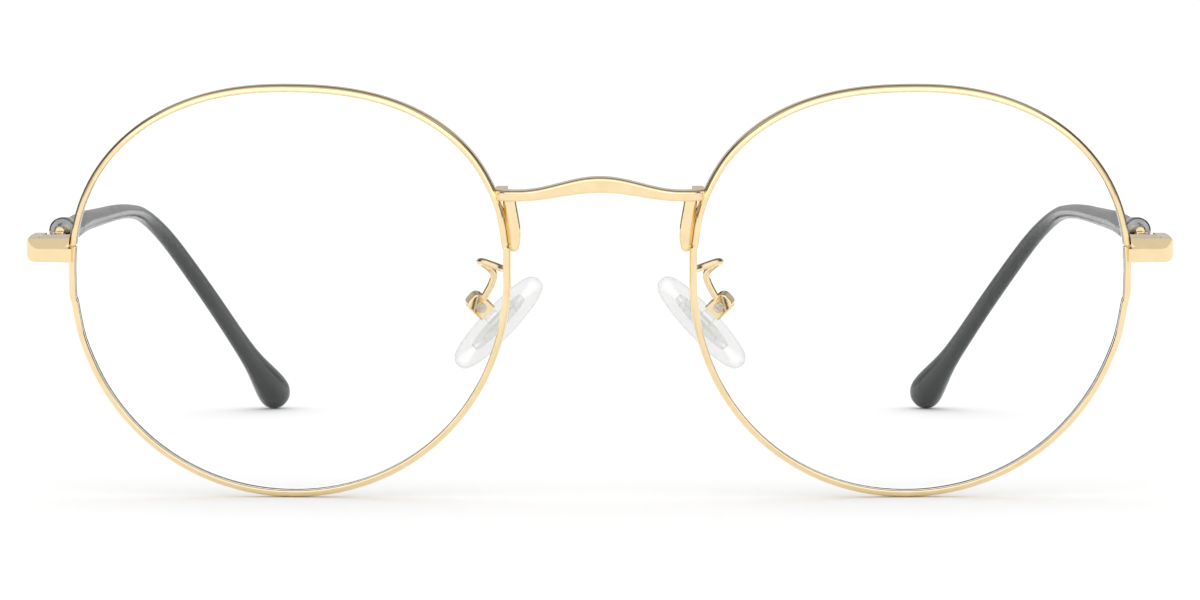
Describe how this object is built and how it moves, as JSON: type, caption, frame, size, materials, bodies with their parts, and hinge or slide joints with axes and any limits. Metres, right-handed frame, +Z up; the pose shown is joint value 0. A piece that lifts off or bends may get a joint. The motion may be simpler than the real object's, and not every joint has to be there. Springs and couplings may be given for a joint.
{
  "type": "eyeglasses",
  "caption": "Round thin metal-rimmed eyeglasses with an arched bridge, rocking clear nose pads and folding dark temples with bent ear tips.",
  "frame": {"origin": "under the middle of the whole object, on the plane that it stands on", "axes": "+X to the wearer's left, +Y back along the temples, +Z up; the lenses face -Y"},
  "size_m": [0.1358, 0.1478, 0.0492],
  "materials": {
    "gold_metal": "polished pale gold plate",
    "clear_lens": "clear, anti-reflection coated",
    "gunmetal": "polished grey lacquer",
    "dark_plastic": "glossy dark grey",
    "clear_silicone": "clear soft satin",
    "pad_insert": "clear hard plastic",
    "screw_steel": "fine turned"
  },
  "bodies": {
    "front": {"bridge": "gold_metal", "rim_left": "gold_metal", "lens_left": "clear_lens", "endpiece_left": "gold_metal", "rim_lock_upper_left": "gold_metal", "rim_lock_lower_left": "gold_metal", "rim_screw_left": "screw_steel", "hinge_front_left": "gold_metal", "hinge_screw_left": "screw_steel", "pad_arm_left": "gold_metal", "pad_box_left": "gold_metal", "pad_screw_left": "screw_steel", "rim_right": "gold_metal", "lens_right": "clear_lens", "endpiece_right": "gold_metal", "rim_lock_upper_right": "gold_metal", "rim_lock_lower_right": "gold_metal", "rim_screw_right": "screw_steel", "hinge_front_right": "gold_metal", "hinge_screw_right": "screw_steel", "pad_arm_right": "gold_metal", "pad_box_right": "gold_metal", "pad_screw_right": "screw_steel"},
    "temple_left": {"hinge_temple_left": "gold_metal", "temple_core_left": "gold_metal", "ferrule_left": "gunmetal", "temple_sleeve_left": "dark_plastic"},
    "pad_left": {"nose_pad_left": "clear_silicone", "pad_core_left": "pad_insert"},
    "temple_right": {"hinge_temple_right": "gold_metal", "temple_core_right": "gold_metal", "ferrule_right": "gunmetal", "temple_sleeve_right": "dark_plastic"},
    "pad_right": {"nose_pad_right": "clear_silicone", "pad_core_right": "pad_insert"}
  },
  "joints": [
    {"name": "temple_fold_left", "type": "hinge", "parent": "front", "child": "temple_left", "pos_m": [0.0637, -0.06014, 0.02947], "axis": [0, 0, 1], "range_deg": [0, 86]},
    {"name": "temple_fold_right", "type": "hinge", "parent": "front", "child": "temple_right", "pos_m": [-0.0637, -0.06014, 0.02947], "axis": [0, 0, -1], "range_deg": [0, 78]},
    {"name": "pad_rock_left", "type": "hinge", "parent": "front", "child": "pad_left", "pos_m": [0.0144, -0.06223, 0.02272], "axis": [0.223, 0.9511, 0.2139], "range_deg": [-10, 10]},
    {"name": "pad_rock_right", "type": "hinge", "parent": "front", "child": "pad_right", "pos_m": [-0.0144, -0.06223, 0.02272], "axis": [0.223, -0.9511, -0.2139], "range_deg": [-10, 10]}
  ]
}
